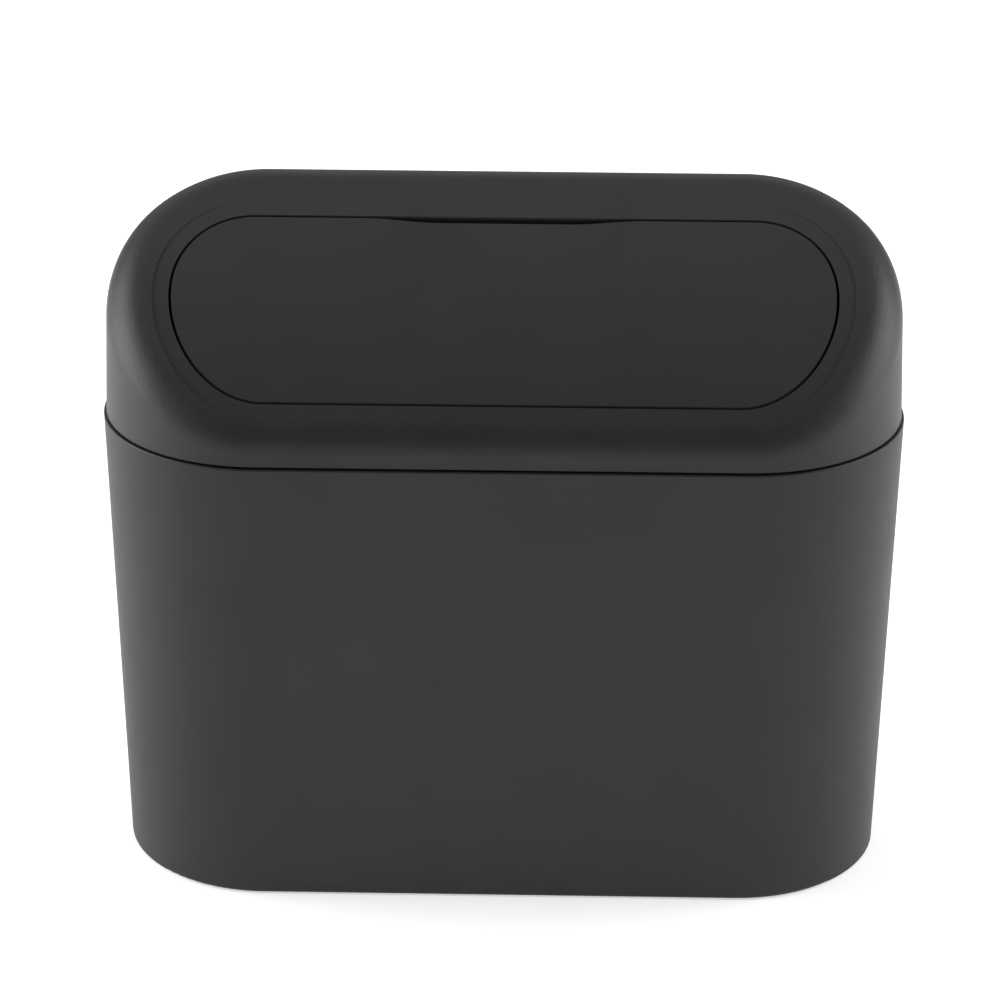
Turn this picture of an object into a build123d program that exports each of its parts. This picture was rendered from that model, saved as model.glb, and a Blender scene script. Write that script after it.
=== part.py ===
from build123d import *
import math
import os

os.makedirs("parts", exist_ok=True)

# ---------------------------------------------------------------------------
# Small press-lid bin.  Millimetres, +Z up, +Y to the rear (hinge side), -Y to
# the front, +X to the right.  The origin is the centre of the underside.
# ---------------------------------------------------------------------------

# bin body
rim_w = 180.0          # outside width at the rim
rim_d = 72.4           # outside depth at the rim
seam_z = 107.2         # top of the rim
draft = 1.515          # draft of the walls, degrees
wall = 2.0
floor_t = 2.4
base_edge_r = 0.9      # nearly sharp lower edge

# lid frame
lid_inset = 0.6        # the lid stands back from the rim
seam_gap = 0.45        # shadow gap between lid and rim
lid_draft = 2.0
lid_wall = 2.2
shoulder_r = 9.5       # big soft shoulder
inner_r = 6.5          # the same corner inside
skirt_z = 100.6        # lower end of the plug skirt
skirt_clear = 0.45
skirt_t = 1.5

# sloped top: points (y, z) on the flap's surface
top_front = (-29.2, 119.81)
top_mid = (-9.0, 136.46)
top_rear = (11.2, 148.68)
step_front = 0.7       # land lies lower than the shoulder at the front
step_mid = 0.5         # and at the ends, and runs out to nothing at the rear

# opening for the flap
open_w = 147.9
open_d = 40.4
open_y = -9.0
open_r_front = 22.0
open_r_rear = 18.2
land_w = 3.6           # width of the recessed land round the opening
flap_gap = 0.62

# flap
flap_t = 2.0
relief_half = 31.0     # half length of the relief in the rear edge
relief_flat = 14.5
relief_deep = 1.1

# hinge
hinge_y = 6.6
hinge_drop = 6.6       # axis below the flap's surface
rod_d = 3.0
rod_half = 32.6
ear_x0, ear_x1 = 26.4, 32.0
knuckle_x0, knuckle_x1 = 12.0, 18.4
ear_r = 3.3
knuckle_r = 3.2
cap_t = 2.4
cap_front = 2.2        # how far the caps reach in front of the axis
screw_y = 14.0
screw_d = 2.0

# springs
wire_d = 0.7
coil_r = 2.45          # to the middle of the wire
coil_x0 = 19.4
coil_pitch = 0.86
leg_front = 11.0
leg_rear = 7.5

# bumpers on the underside of the land
bumper_x = 44.0
bumper_w = 14.0
bumper_t = 0.9
tab_w = 9.0


def circle_through(a, b, c):
    """Centre (y, z) and radius of the circle through three points."""
    ax, ay, bx, by, cx, cy = *a, *b, *c
    d = 2 * (ax * (by - cy) + bx * (cy - ay) + cx * (ay - by))
    ux = ((ax**2 + ay**2) * (by - cy) + (bx**2 + by**2) * (cy - ay) + (cx**2 + cy**2) * (ay - by)) / d
    uy = ((ax**2 + ay**2) * (cx - bx) + (bx**2 + by**2) * (ax - cx) + (cx**2 + cy**2) * (bx - ax)) / d
    return (ux, uy), math.hypot(ax - ux, ay - uy)


def on_circle(cr, y):
    """Height of the upper side of the circle at y."""
    (cy, cz), r = cr
    return cz + math.sqrt(r * r - (y - cy) ** 2)


def slope_at(cr, y):
    (cy, cz), r = cr
    return (cy - y) / math.sqrt(r * r - (y - cy) ** 2)


def profile_points(cr, y0, y1, drop, reach_front=12.0, reach_rear=32.0):
    """Arc from y0 to y1 lowered square to itself by drop, with straight
    tangents carried on at both ends.  Returns the five points
    (front end, arc start, arc middle, arc end, rear end)."""
    (cy, cz), r = cr
    a0 = math.atan2(on_circle(cr, y0) - cz, y0 - cy)
    a1 = math.atan2(on_circle(cr, y1) - cz, y1 - cy)
    rr = r - drop
    pts = [(cy + rr * math.cos(a), cz + rr * math.sin(a)) for a in (a0, (a0 + a1) / 2, a1)]
    s0, s1 = slope_at(cr, y0), slope_at(cr, y1)
    return [
        (pts[0][0] - reach_front, pts[0][1] - reach_front * s0),
        pts[0],
        pts[1],
        pts[2],
        (pts[2][0] + reach_rear, pts[2][1] + reach_rear * s1),
    ]


flap_arc = circle_through(top_front, top_mid, top_rear)
rise_front = (top_front[0], top_front[1] + step_front)
rise_mid = (top_mid[0], top_mid[1] + step_mid)
land_rear_y = top_rear[0] + land_w
rise_rear = (land_rear_y, on_circle(flap_arc, land_rear_y) + 0.02)
crest_arc = circle_through(rise_front, rise_mid, rise_rear)

hinge_z = on_circle(flap_arc, hinge_y) - hinge_drop

lid_w = rim_w - 2 * lid_inset
lid_d = rim_d - 2 * lid_inset
lid_z = seam_z + seam_gap


def stadium_prism(z, w, d, height, taper=0.0):
    """Drafted stadium block standing on height z."""
    with BuildPart() as block:
        with BuildSketch(Plane.XY.offset(z)):
            SlotOverall(w, d)
        extrude(amount=height, taper=taper)
    return block.part


def under_solid(cr, y0, y1, drop, half=110.0, low=90.0):
    """Everything under the top profile, from -half to half in X."""
    p = profile_points(cr, y0, y1, drop)
    with BuildPart() as block:
        with BuildSketch(Plane.YZ.offset(-half)):
            with BuildLine():
                Line(p[0], p[1])
                ThreePointArc(p[1], p[2], p[3])
                Line(p[3], p[4])
                Polyline(p[4], (p[4][0], low), (p[0][0], low), p[0])
            make_face()
        extrude(amount=2 * half)
    return block.part


def band_solid(drop0, drop1, half=100.0):
    """Curved slab between two drops below the flap's surface."""
    p = profile_points(flap_arc, top_front[0], top_rear[0], drop0)
    q = profile_points(flap_arc, top_front[0], top_rear[0], drop1)
    with BuildPart() as block:
        with BuildSketch(Plane.YZ.offset(-half)):
            with BuildLine():
                Line(p[0], p[1])
                ThreePointArc(p[1], p[2], p[3])
                Line(p[3], p[4])
                Line(p[4], q[4])
                Line(q[4], q[3])
                ThreePointArc(q[3], q[2], q[1])
                Line(q[1], q[0])
                Line(q[0], p[0])
            make_face()
        extrude(amount=2 * half)
    return block.part


def egg_prism(z, grow, height):
    """Upright block with the plan of the opening, grown outwards by grow."""
    with BuildPart() as block:
        with BuildSketch(Plane.XY.offset(z)) as plan:
            with Locations((0, open_y)):
                Rectangle(open_w + 2 * grow, open_d + 2 * grow)
            fillet(plan.vertices().group_by(Axis.Y)[-1], open_r_rear + grow)
            fillet(plan.vertices().group_by(Axis.Y)[0], open_r_front + grow)
        extrude(amount=height)
    return block.part


def shoulder_edges(solid, floor, margin):
    """Edges between the walls and the top, without the lines across the top."""
    return [
        e
        for e in solid.edges()
        if all(v.Z > floor for v in e.vertices())
        and not (abs(e.tangent_at(0.5).Y) < 1e-6 and abs(e.center().Y) < margin)
    ]


# ---------------------------------------------------------------------------
# bin body: one drafted stadium shell, open at the top
# ---------------------------------------------------------------------------
shrink = math.tan(math.radians(draft))
base_w = rim_w - 2 * seam_z * shrink
base_d = rim_d - 2 * seam_z * shrink

with BuildPart() as hollow:
    with BuildSketch(Plane.XY.offset(floor_t)):
        SlotOverall(base_w + 2 * floor_t * shrink - 2 * wall, base_d + 2 * floor_t * shrink - 2 * wall)
    extrude(amount=seam_z - floor_t + 1.0, taper=-draft)
    fillet(hollow.faces().sort_by(Axis.Z)[0].edges(), 2.5)

with BuildPart() as bin_body:
    with BuildSketch(Plane.XY):
        SlotOverall(base_w, base_d)
    extrude(amount=seam_z, taper=-draft)
    fillet(bin_body.faces().sort_by(Axis.Z)[0].edges(), base_edge_r)
    add(hollow.part, mode=Mode.SUBTRACT)
    fillet(bin_body.faces().sort_by(Axis.Z)[-1].edges(), 0.35)
bin_body.part.label = "bin_body"
export_step(bin_body.part, "parts/bin_body.step")

# ---------------------------------------------------------------------------
# lid frame: sloped, soft-shouldered shell with an opening and a plug skirt
# ---------------------------------------------------------------------------
under_crest = under_solid(crest_arc, top_front[0], land_rear_y, 0.0)
under_inside = under_solid(flap_arc, top_front[0], top_rear[0], lid_wall)
under_flap = under_solid(flap_arc, top_front[0], top_rear[0], 0.0, half=120.0, low=80.0)

with BuildPart() as lid_outer:
    with BuildSketch(Plane.XY.offset(lid_z)):
        SlotOverall(lid_w, lid_d)
    extrude(amount=70.0, taper=lid_draft)
    add(under_crest, mode=Mode.INTERSECT)
    fillet(shoulder_edges(lid_outer, lid_z + 2.0, lid_d / 2 - 4.0), shoulder_r)

with BuildPart() as lid_inner:
    with BuildSketch(Plane.XY.offset(lid_z - 1.0)):
        SlotOverall(lid_w - 2 * lid_wall, lid_d - 2 * lid_wall)
    extrude(amount=70.0, taper=lid_draft)
    add(under_inside, mode=Mode.INTERSECT)
    fillet(shoulder_edges(lid_inner, lid_z + 0.5, lid_d / 2 - lid_wall - 3.0), inner_r)

# everything above the flap's surface, as far out as the land goes
with BuildPart() as land_cut:
    add(egg_prism(lid_z, land_w, 70.0))
    add(under_flap, mode=Mode.SUBTRACT)

opening_cut = egg_prism(lid_z + 2.0, 0.0, 70.0)

# ears that carry the hinge rod, each with a slot open below
shell_y0, shell_y1 = 12.0, 20.5
ear_low = hinge_z - ear_r
ears = []
for side in (-1, 1):
    x0 = ear_x0 if side > 0 else -ear_x1
    with BuildPart() as ear:
        with BuildSketch(Plane.YZ.offset(x0)):
            with BuildLine():
                Polyline(
                    (hinge_y, ear_low),
                    (16.5, ear_low),
                    (shell_y1, ear_low + 6.0),
                    (shell_y1, on_circle(flap_arc, shell_y1) - 1.0),
                    (shell_y0, on_circle(flap_arc, shell_y0) - 1.0),
                    (shell_y0, hinge_z + ear_r - 0.4),
                    (hinge_y, hinge_z + ear_r),
                    (hinge_y, ear_low),
                )
            make_face()
            with Locations((hinge_y, hinge_z)):
                Circle(ear_r)
            with Locations((hinge_y, hinge_z)):
                Circle(rod_d / 2 + 0.03, mode=Mode.SUBTRACT)
            with Locations((hinge_y, hinge_z - 5.0)):
                Rectangle(rod_d + 0.06, 10.0, mode=Mode.SUBTRACT)
        extrude(amount=ear_x1 - ear_x0)
        with Locations((x0 + (ear_x1 - ear_x0) / 2, screw_y, ear_low)):
            Cylinder(
                screw_d / 2 + 0.02,
                5.6,
                align=(Align.CENTER, Align.CENTER, Align.MIN),
                mode=Mode.SUBTRACT,
            )
    ears.append(ear.part)

skirt_w = rim_w - 2 * wall - 2 * skirt_clear
skirt_d = rim_d - 2 * wall - 2 * skirt_clear
post_low = hinge_z + coil_r + wire_d / 2 + 0.02

with BuildPart() as lid_frame:
    add(lid_outer.part)
    add(lid_inner.part, mode=Mode.SUBTRACT)
    add(land_cut.part, mode=Mode.SUBTRACT)
    add(opening_cut, mode=Mode.SUBTRACT)
    # resting flange, inside the shadow gap
    with BuildSketch(Plane.XY.offset(seam_z)):
        SlotOverall(rim_w - 2 * wall + 1.4, rim_d - 2 * wall + 1.4)
        SlotOverall(skirt_w - 2 * skirt_t, skirt_d - 2 * skirt_t, mode=Mode.SUBTRACT)
    extrude(amount=2.2)
    # plug skirt
    with BuildSketch(Plane.XY.offset(skirt_z)):
        SlotOverall(skirt_w, skirt_d)
        SlotOverall(skirt_w - 2 * skirt_t, skirt_d - 2 * skirt_t, mode=Mode.SUBTRACT)
    extrude(amount=seam_z - skirt_z + 0.5)
    for ear_part in ears:
        add(ear_part)
    # posts that the springs' rear legs bear on
    with BuildSketch(Plane.XY.offset(post_low)):
        with Locations((coil_x0 + 4.8, 13.2), (-coil_x0 - 4.8, 13.2)):
            Rectangle(3.6, 2.4)
    extrude(amount=on_circle(flap_arc, 13.2) - 1.6 - post_low)
lid_frame.part.label = "lid_frame"
export_step(lid_frame.part, "parts/lid_frame.step")

# ---------------------------------------------------------------------------
# flap: curved plate that fills the opening, with rim, knuckles and stop tabs
# ---------------------------------------------------------------------------
rear_y = open_y + open_d / 2 - flap_gap

with BuildPart() as relief:
    with BuildSketch(Plane.XY.offset(lid_z - 1.0)):
        with BuildLine():
            Spline(
                (-relief_half, rear_y),
                (-relief_flat, rear_y - relief_deep),
                tangents=[(1, 0), (1, 0)],
            )
            Line((-relief_flat, rear_y - relief_deep), (relief_flat, rear_y - relief_deep))
            Spline(
                (relief_flat, rear_y - relief_deep),
                (relief_half, rear_y),
                tangents=[(1, 0), (1, 0)],
            )
            Polyline(
                (relief_half, rear_y),
                (relief_half, rear_y + 3.0),
                (-relief_half, rear_y + 3.0),
                (-relief_half, rear_y),
            )
        make_face()
    extrude(amount=72.0)

with BuildPart() as plate:
    add(egg_prism(lid_z, -flap_gap, 70.0))
    add(band_solid(0.0, flap_t), mode=Mode.INTERSECT)
    add(relief.part, mode=Mode.SUBTRACT)

# stiffening rim under the plate, left open towards the hinge
with BuildPart() as flap_rim:
    add(egg_prism(lid_z, -4.2, 70.0))
    add(egg_prism(lid_z - 1.0, -5.8, 72.0), mode=Mode.SUBTRACT)
    add(band_solid(flap_t - 0.4, flap_t + 3.0), mode=Mode.INTERSECT)
    with Locations((0, 18.0, 130.0)):
        Box(200.0, 40.0, 90.0, mode=Mode.SUBTRACT)

# stop tabs that reach out under the land, and the webs that carry them
tab_drop = lid_wall + bumper_t + 0.10
with BuildPart() as tabs:
    with BuildSketch(Plane.XY.offset(lid_z - 4.0)):
        with Locations((-bumper_x, open_y - open_d / 2 + 1.2), (bumper_x, open_y - open_d / 2 + 1.2)):
            Rectangle(tab_w, 6.2)
    extrude(amount=70.0)
    add(band_solid(tab_drop, tab_drop + 1.5), mode=Mode.INTERSECT)

with BuildPart() as webs:
    with BuildSketch(Plane.XY.offset(lid_z - 4.0)):
        with Locations((-bumper_x, open_y - open_d / 2 + 2.9), (bumper_x, open_y - open_d / 2 + 2.9)):
            Rectangle(tab_w, 2.8)
    extrude(amount=70.0)
    add(band_solid(1.2, tab_drop + 1.5), mode=Mode.INTERSECT)

# seats for the springs' front legs
with BuildPart() as seats:
    with BuildSketch(Plane.XY.offset(lid_z - 4.0)):
        with Locations((-coil_x0 - wire_d / 2, -1.5), (coil_x0 + wire_d / 2, -1.5)):
            Rectangle(3.0, 4.0)
    extrude(amount=70.0)
    add(band_solid(flap_t - 0.4, flap_t + 0.5), mode=Mode.INTERSECT)

with BuildPart() as knuckles:
    for side in (-1, 1):
        x0 = knuckle_x0 if side > 0 else -knuckle_x1
        with BuildSketch(Plane.YZ.offset(x0)):
            with Locations((hinge_y, hinge_z)):
                Circle(knuckle_r)
            with BuildLine():
                Polyline(
                    (hinge_y - knuckle_r, hinge_z),
                    (hinge_y + 2.6, hinge_z + 0.5),
                    (hinge_y + 2.2, on_circle(flap_arc, hinge_y + 2.2) - 1.2),
                    (hinge_y - knuckle_r - 1.0, on_circle(flap_arc, hinge_y - knuckle_r - 1.0) - 1.2),
                    (hinge_y - knuckle_r, hinge_z),
                )
            make_face()
            with Locations((hinge_y, hinge_z)):
                Circle(rod_d / 2 + 0.05, mode=Mode.SUBTRACT)
        extrude(amount=knuckle_x1 - knuckle_x0)

with BuildPart() as flap:
    add(plate.part)
    add(flap_rim.part)
    add(webs.part)
    add(tabs.part)
    add(seats.part)
    add(knuckles.part)
flap.part.label = "flap"
export_step(flap.part, "parts/flap.step")

# ---------------------------------------------------------------------------
# hinge rod
# ---------------------------------------------------------------------------
with BuildPart() as hinge_rod:
    with BuildSketch(Plane.YZ.offset(-rod_half)):
        with Locations((hinge_y, hinge_z)):
            Circle(rod_d / 2)
    extrude(amount=2 * rod_half)
    chamfer(hinge_rod.edges().filter_by(GeomType.CIRCLE), 0.3)
hinge_rod.part.label = "hinge_rod"
export_step(hinge_rod.part, "parts/hinge_rod.step")

# ---------------------------------------------------------------------------
# hinge caps: close the slots from below, one screw each
# ---------------------------------------------------------------------------
for side, word in ((-1, "left"), (1, "right")):
    x0 = ear_x0 if side > 0 else -ear_x1
    xm = x0 + (ear_x1 - ear_x0) / 2
    with BuildPart() as hinge_cap:
        with BuildSketch(Plane.YZ.offset(x0)):
            with BuildLine():
                Polyline(
                    (hinge_y - cap_front, ear_low - cap_t),
                    (16.5, ear_low - cap_t),
                    (16.5, ear_low),
                    (hinge_y - cap_front, ear_low),
                    (hinge_y - cap_front, ear_low - cap_t),
                )
            make_face()
            # tongue that reaches up the slot and holds the rod
            with Locations((hinge_y, (ear_low + hinge_z - rod_d / 2) / 2 - 0.25)):
                Rectangle(rod_d - 0.1, hinge_z - rod_d / 2 - ear_low + 0.4)
            with Locations((hinge_y, hinge_z)):
                Circle(rod_d / 2 + 0.02, mode=Mode.SUBTRACT)
        extrude(amount=ear_x1 - ear_x0)
        with Locations((xm, screw_y, ear_low - cap_t - 1.0)):
            Cylinder(
                screw_d / 2 + 0.1,
                cap_t + 2.0,
                align=(Align.CENTER, Align.CENTER, Align.MIN),
                mode=Mode.SUBTRACT,
            )
        uprights = hinge_cap.edges().filter_by(Axis.Z).group_by(Axis.Y)
        fillet(uprights[0] + uprights[-1], 0.8)
    hinge_cap.part.label = f"hinge_cap_{word}"
    export_step(hinge_cap.part, f"parts/hinge_cap_{word}.step")

# ---------------------------------------------------------------------------
# two pan-head screws, one group
# ---------------------------------------------------------------------------
head_z = ear_low - cap_t
with BuildPart() as hinge_cap_screws:
    for side in (-1, 1):
        xm = side * (ear_x0 + ear_x1) / 2
        with Locations((xm, screw_y, head_z)):
            Cylinder(2.0, 1.5, align=(Align.CENTER, Align.CENTER, Align.MAX))
        with Locations((xm, screw_y, head_z)):
            Cylinder(screw_d / 2, 6.2, align=(Align.CENTER, Align.CENTER, Align.MIN))
        with Locations((xm, screw_y, head_z + 6.2)):
            Cone(screw_d / 2, 0.2, 1.2, align=(Align.CENTER, Align.CENTER, Align.MIN))
    fillet(hinge_cap_screws.faces().group_by(Axis.Z)[0].edges(), 0.5)
    for side in (-1, 1):
        xm = side * (ear_x0 + ear_x1) / 2
        with Locations((xm, screw_y, head_z - 1.5)):
            Box(2.2, 0.5, 1.6, mode=Mode.SUBTRACT)
            Box(0.5, 2.2, 1.6, mode=Mode.SUBTRACT)
hinge_cap_screws.part.label = "hinge_cap_screws"
export_step(hinge_cap_screws.part, "parts/hinge_cap_screws.step")

# ---------------------------------------------------------------------------
# torsion springs: coil round the rod, front leg under the flap, rear leg
# under the post of the frame
# ---------------------------------------------------------------------------
lean = math.radians(30.0)
leg_dir = (-math.cos(lean), -math.sin(lean))
leg_nrm = (-math.sin(lean), math.cos(lean))
x_in = -(coil_x0 + wire_d / 2)
start = (hinge_y + coil_r * leg_nrm[0], hinge_z + coil_r * leg_nrm[1])
turns = 5 + 30.0 / 360.0

spring_plane = Plane(
    origin=(x_in, hinge_y, hinge_z), x_dir=(0, leg_nrm[0], leg_nrm[1]), z_dir=(-1, 0, 0)
)
coil = (spring_plane * Helix(pitch=coil_pitch, height=coil_pitch * turns, radius=coil_r)).edges()[0]

with BuildPart() as torsion_spring_left:
    with BuildSketch(Plane(origin=coil @ 0, z_dir=coil % 0)):
        Circle(wire_d / 2)
    sweep(path=coil, is_frenet=True)
    # the legs carry the wire straight on from the ends of the coil
    ends = torsion_spring_left.faces().filter_by(GeomType.PLANE).sort_by(Axis.X)
    extrude(to_extrude=ends[-1], amount=leg_front)
    extrude(to_extrude=ends[0], amount=leg_rear)
torsion_spring_left.part.label = "torsion_spring_left"
export_step(torsion_spring_left.part, "parts/torsion_spring_left.step")

with BuildPart() as torsion_spring_right:
    mirror(torsion_spring_left.part, about=Plane.YZ)
torsion_spring_right.part.label = "torsion_spring_right"
export_step(torsion_spring_right.part, "parts/torsion_spring_right.step")
wire_len = 2 * math.pi * coil_r * turns + leg_front + leg_rear
print("spring volume", torsion_spring_left.part.volume, "expected", wire_len * math.pi * wire_d**2 / 4)

# ---------------------------------------------------------------------------
# bumpers stuck under the front of the land, above the flap's stop tabs
# ---------------------------------------------------------------------------
for side, word in ((-1, "left"), (1, "right")):
    with BuildPart() as flap_bumper:
        with BuildSketch(Plane.XY.offset(lid_z - 4.0)):
            with Locations((side * bumper_x, open_y - open_d / 2 - 0.6)):
                RectangleRounded(bumper_w, 2.2, 0.6)
        extrude(amount=70.0)
        add(band_solid(lid_wall, lid_wall + bumper_t), mode=Mode.INTERSECT)
    flap_bumper.part.label = f"flap_bumper_{word}"
    export_step(flap_bumper.part, f"parts/flap_bumper_{word}.step")

print("hinge axis y", round(hinge_y, 3), "z", round(hinge_z, 3))
print("flap arc", flap_arc, "crest arc", crest_arc)
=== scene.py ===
import math

import bpy
from mathutils import Matrix, Vector

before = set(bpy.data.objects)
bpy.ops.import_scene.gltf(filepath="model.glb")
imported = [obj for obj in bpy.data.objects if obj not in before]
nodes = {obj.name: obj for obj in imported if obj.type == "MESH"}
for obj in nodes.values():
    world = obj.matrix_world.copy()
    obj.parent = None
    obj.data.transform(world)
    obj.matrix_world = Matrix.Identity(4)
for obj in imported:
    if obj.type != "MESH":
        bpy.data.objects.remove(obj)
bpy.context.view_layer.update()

# ---------------------------------------------------------------------------
# camera: placed from the outlines of the object in the photograph
# ---------------------------------------------------------------------------
CAM_POS = (0.0145, -0.8050, 0.4507)
PITCH, YAW, ROLL = math.radians(24.44), math.radians(-1.25), math.radians(0.19)
FOCAL_PX = 3885.6
SHIFT_PX = (-10.4, -1.65)

fw = Vector((math.sin(YAW) * math.cos(PITCH), math.cos(YAW) * math.cos(PITCH), -math.sin(PITCH)))
rt = Vector((math.cos(YAW), -math.sin(YAW), 0.0))
up = rt.cross(fw)
c, s = math.cos(ROLL), math.sin(ROLL)
rt, up = c * rt + s * up, -s * rt + c * up
cam_data = bpy.data.cameras.new("camera")
cam = bpy.data.objects.new("camera", cam_data)
bpy.context.scene.collection.objects.link(cam)
cam.matrix_world = Matrix(
    (
        (rt.x, up.x, -fw.x, CAM_POS[0]),
        (rt.y, up.y, -fw.y, CAM_POS[1]),
        (rt.z, up.z, -fw.z, CAM_POS[2]),
        (0.0, 0.0, 0.0, 1.0),
    )
)
cam_data.sensor_width = 36.0
cam_data.lens = FOCAL_PX * 36.0 / 1000.0
cam_data.shift_x = -SHIFT_PX[0] / 1000.0
cam_data.shift_y = SHIFT_PX[1] / 1000.0
cam_data.clip_start = 0.05
cam_data.clip_end = 50.0
bpy.context.scene.camera = cam
bpy.context.scene.view_settings.view_transform = "Standard"


# ---------------------------------------------------------------------------
# materials
# ---------------------------------------------------------------------------
class Mat:
    """A node material with a Principled shader and a few shorthands."""

    def __init__(self, name):
        self.mat = bpy.data.materials.new(name)
        self.mat.use_nodes = True
        self.nt = self.mat.node_tree
        self.bsdf = self.nt.nodes["Principled BSDF"]
        self.pos = self.new("ShaderNodeTexCoord").outputs["Object"]

    def new(self, kind, **props):
        n = self.nt.nodes.new(kind)
        for k, v in props.items():
            setattr(n, k, v)
        return n

    def link(self, a, b):
        self.nt.links.new(a, b)

    def noise(self, scale, detail=2.0, rough=0.5, stretch=None, kind="FBM"):
        n = self.new("ShaderNodeTexNoise")
        n.noise_dimensions = "3D"
        n.inputs["Scale"].default_value = scale
        n.inputs["Detail"].default_value = detail
        n.inputs["Roughness"].default_value = rough
        if stretch:
            m = self.new("ShaderNodeMapping")
            m.inputs["Scale"].default_value = stretch
            self.link(self.pos, m.inputs["Vector"])
            self.link(m.outputs["Vector"], n.inputs["Vector"])
        else:
            self.link(self.pos, n.inputs["Vector"])
        return n.outputs["Fac"]

    def voronoi(self, scale, feature="F1"):
        n = self.new("ShaderNodeTexVoronoi")
        n.feature = feature
        n.inputs["Scale"].default_value = scale
        self.link(self.pos, n.inputs["Vector"])
        return n.outputs["Distance"]

    def ramp(self, fac, stops):
        n = self.new("ShaderNodeValToRGB")
        el = n.color_ramp.elements
        el[0].position, el[0].color = stops[0][0], (*stops[0][1], 1.0)
        el[1].position, el[1].color = stops[-1][0], (*stops[-1][1], 1.0)
        for p, col in stops[1:-1]:
            e = el.new(p)
            e.color = (*col, 1.0)
        self.link(fac, n.inputs["Fac"])
        return n.outputs["Color"]

    def remap(self, fac, a, b, c0, d):
        n = self.new("ShaderNodeMapRange")
        n.inputs["From Min"].default_value = a
        n.inputs["From Max"].default_value = b
        n.inputs["To Min"].default_value = c0
        n.inputs["To Max"].default_value = d
        self.link(fac, n.inputs["Value"])
        return n.outputs["Result"]

    def math(self, op, a, b):
        n = self.new("ShaderNodeMath")
        n.operation = op
        for i, v in enumerate((a, b)):
            if isinstance(v, (int, float)):
                n.inputs[i].default_value = v
            else:
                self.link(v, n.inputs[i])
        return n.outputs["Value"]

    def mix(self, fac, a, b):
        n = self.new("ShaderNodeMix")
        n.data_type = "RGBA"
        if isinstance(fac, (int, float)):
            n.inputs["Factor"].default_value = fac
        else:
            self.link(fac, n.inputs["Factor"])
        for key, v in ((6, a), (7, b)):
            if isinstance(v, tuple):
                n.inputs[key].default_value = (*v, 1.0)
            else:
                self.link(v, n.inputs[key])
        return n.outputs[2]

    def bump(self, height, distance, strength=1.0, under=None):
        n = self.new("ShaderNodeBump")
        n.inputs["Distance"].default_value = distance
        n.inputs["Strength"].default_value = strength
        self.link(height, n.inputs["Height"])
        if under is not None:
            self.link(under, n.inputs["Normal"])
        return n.outputs["Normal"]

    def set(self, **values):
        for k, v in values.items():
            sock = self.bsdf.inputs[k.replace("_", " ")]
            if hasattr(v, "is_output"):
                self.link(v, sock)
            else:
                sock.default_value = v


def moulded_plastic(name, grain_size, grain_depth, rough, dust, tint=(0.0112, 0.0104, 0.0108)):
    """Near-black moulded plastic: a fine leathery spark-eroded grain, a slow
    unevenness of gloss from the mould, and a few specks of dust."""
    m = Mat(name)
    # grain: rounded cells broken up by a finer noise
    cells = m.voronoi(1.0 / grain_size, "SMOOTH_F1")
    fine = m.noise(1.0 / (grain_size * 0.6), 3.0, 0.6)
    grain = m.math("ADD", m.math("MULTIPLY", cells, 0.55), m.math("MULTIPLY", fine, 0.75))
    # slow swells of the moulded wall
    swell = m.noise(26.0, 2.0, 0.4)
    n1 = m.bump(swell, 0.00012, 0.35)
    n2 = m.bump(grain, grain_depth, 1.0, n1)
    m.link(n2, m.bsdf.inputs["Normal"])
    # colour: barely uneven, with a painted highlight that makes the tips of the grain a little
    # lighter
    tone = m.noise(60.0, 4.0, 0.55)
    lighter = tuple(v * 1.16 for v in tint)
    darker = tuple(v * 0.88 for v in tint)
    base = m.ramp(tone, [(0.30, darker), (0.70, lighter)])
    # painted highlight: the raised tips of the grain are lightened in the colour, the valleys left
    # darker
    painted_tip_highlight = m.remap(fine, 0.50, 0.72, 0.0, 0.30)
    base = m.mix(painted_tip_highlight, base, tuple(v * 1.5 for v in tint))
    # dust: sparse pale specks with soft edges, and a few fibres
    specks = m.new("ShaderNodeTexVoronoi")
    specks.feature = "F1"
    specks.inputs["Scale"].default_value = 105.0
    specks.inputs["Randomness"].default_value = 1.0
    m.link(m.pos, specks.inputs["Vector"])
    sep = m.new("ShaderNodeSeparateColor")
    m.link(specks.outputs["Color"], sep.inputs["Color"])
    some = m.math("GREATER_THAN", sep.outputs["Red"], 1.0 - dust)
    size = m.remap(sep.outputs["Green"], 0.0, 1.0, 0.018, 0.045)
    near = m.math("LESS_THAN", specks.outputs["Distance"], size)
    dot = m.math("MULTIPLY", some, near)
    dot = m.math("MULTIPLY", dot, 0.55)
    base = m.mix(dot, base, (0.11, 0.108, 0.105))
    m.link(base, m.bsdf.inputs["Base Color"])
    gloss = m.noise(34.0, 3.0, 0.6)
    r = m.remap(gloss, 0.3, 0.7, rough - 0.025, rough + 0.03)
    r = m.math("ADD", r, m.math("MULTIPLY", dot, 0.35))
    m.link(r, m.bsdf.inputs["Roughness"])
    m.set(IOR=1.47)
    return m.mat


def steel(name, base, rough, across):
    m = Mat(name)
    drawn = m.noise(900.0, 3.0, 0.6, stretch=across)
    blotch = m.noise(240.0, 3.0, 0.6)
    col = m.ramp(blotch, [(0.3, tuple(v * 0.82 for v in base)), (0.7, base)])
    m.link(col, m.bsdf.inputs["Base Color"])
    m.link(m.remap(drawn, 0.3, 0.7, rough - 0.07, rough + 0.10), m.bsdf.inputs["Roughness"])
    m.link(m.bump(drawn, 0.00002, 0.6), m.bsdf.inputs["Normal"])
    m.set(Metallic=1.0)
    return m.mat


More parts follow.
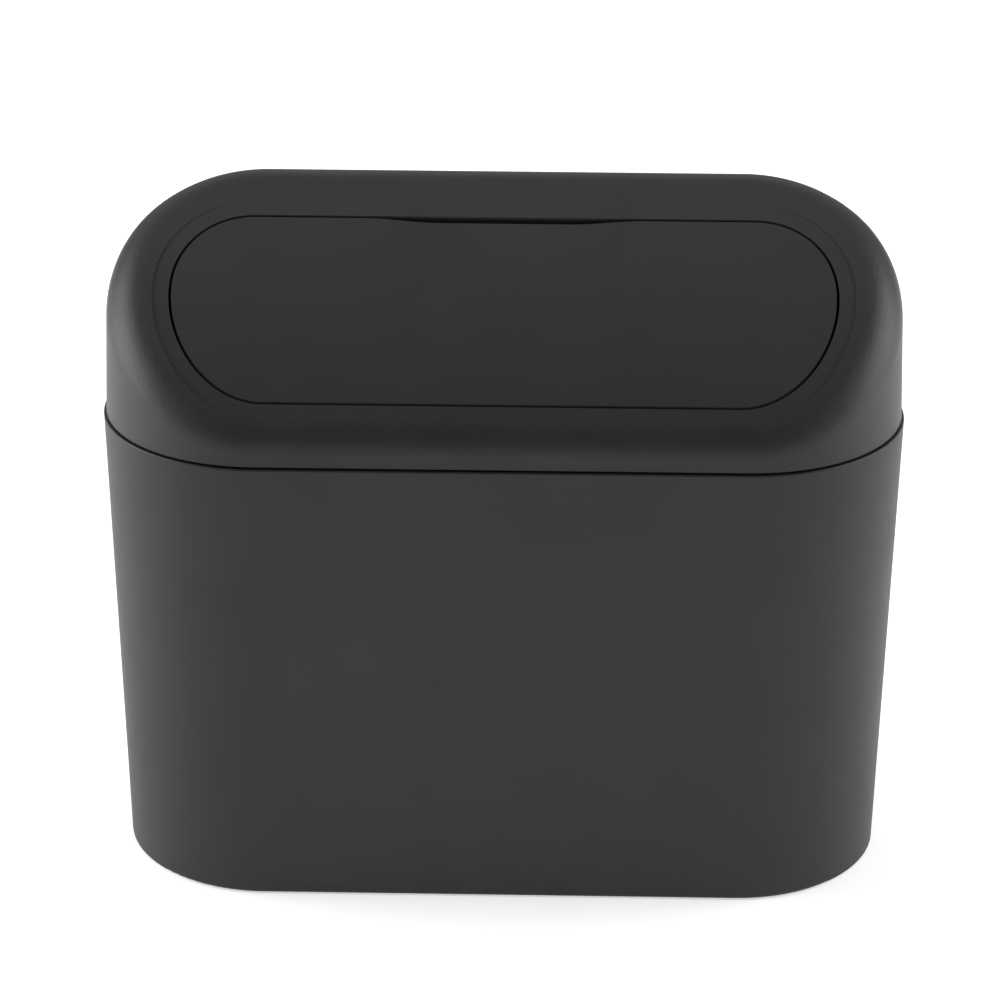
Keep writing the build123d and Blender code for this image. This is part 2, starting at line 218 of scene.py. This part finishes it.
def rubber(name):
    m = Mat(name)
    pores = m.noise(2600.0, 3.0, 0.6)
    bloom = m.noise(180.0, 3.0, 0.6)
    col = m.ramp(bloom, [(0.3, (0.011, 0.011, 0.011)), (0.7, (0.022, 0.021, 0.020))])
    m.link(col, m.bsdf.inputs["Base Color"])
    m.link(m.remap(pores, 0.3, 0.7, 0.68, 0.86), m.bsdf.inputs["Roughness"])
    m.link(m.bump(pores, 0.00004, 0.8), m.bsdf.inputs["Normal"])
    return m.mat


body_mat = moulded_plastic("body_plastic", 0.00042, 0.000030, 0.50, 0.030, (0.0075, 0.0070, 0.0073))
lid_mat = moulded_plastic("lid_plastic", 0.00050, 0.000045, 0.47, 0.040)
flap_mat = moulded_plastic("flap_plastic", 0.00036, 0.000014, 0.54, 0.060)
rod_mat = steel("steel", (0.60, 0.60, 0.59), 0.30, (0.05, 1.0, 1.0))
wire_mat = steel("spring_steel", (0.43, 0.43, 0.45), 0.33, (1.0, 1.0, 1.0))
rubber_mat = rubber("rubber")

finish = {
    "bin_body": body_mat,
    "lid_frame": lid_mat,
    "hinge_cap_left": lid_mat,
    "hinge_cap_right": lid_mat,
    "flap": flap_mat,
    "hinge_rod": rod_mat,
    "hinge_cap_screws": rod_mat,
    "torsion_spring_left": wire_mat,
    "torsion_spring_right": wire_mat,
    "flap_bumper_left": rubber_mat,
    "flap_bumper_right": rubber_mat,
}
for name, mat in finish.items():
    o = nodes[name]
    if not o.material_slots:
        o.data.materials.append(mat)
    for sl in o.material_slots:
        sl.material = mat

# ---------------------------------------------------------------------------
# studio: a white floor, a white surround and soft boxes
# ---------------------------------------------------------------------------
floor_mesh = bpy.data.meshes.new("floor")
floor_mesh.from_pydata([(-5, -5, 0), (5, -5, 0), (5, 5, 0), (-5, 5, 0)], [], [(0, 1, 2, 3)])
floor = bpy.data.objects.new("floor", floor_mesh)
bpy.context.scene.collection.objects.link(floor)
floor.location.z = -0.0002
fm = Mat("floor_paper")
fm.set(Base_Color=(0.86, 0.86, 0.86, 1.0), Roughness=0.9)
fm.bsdf.inputs["Emission Color"].default_value = (1.0, 1.0, 1.0, 1.0)
fm.bsdf.inputs["Emission Strength"].default_value = 0.50
floor_mesh.materials.append(fm.mat)

world = bpy.data.worlds.new("studio")
bpy.context.scene.world = world
world.use_nodes = True
bg = world.node_tree.nodes["Background"]
bg.inputs["Color"].default_value = (1.0, 1.0, 1.0, 1.0)
bg.inputs["Strength"].default_value = 0.26


def softbox(name, at, aim, w, h, power):
    d = bpy.data.lights.new(name, "AREA")
    d.shape = "RECTANGLE"
    d.size, d.size_y = w, h
    d.energy = power
    o = bpy.data.objects.new(name, d)
    bpy.context.scene.collection.objects.link(o)
    o.location = at
    o.rotation_euler = (Vector(aim) - Vector(at)).to_track_quat("-Z", "Y").to_euler()
    return o


softbox("box_left", (-1.25, 0.10, 0.55), (0.0, 0.0, 0.08), 1.0, 1.2, 18.5)
softbox("box_right", (1.25, 0.15, 0.60), (0.0, 0.0, 0.08), 1.0, 1.2, 14.5)
softbox("box_top", (0.0, 0.25, 1.60), (0.0, 0.0, 0.10), 1.6, 1.2, 4.0)
softbox("box_back", (0.0, 1.30, 0.80), (0.0, 0.0, 0.15), 1.8, 0.8, 2.0)
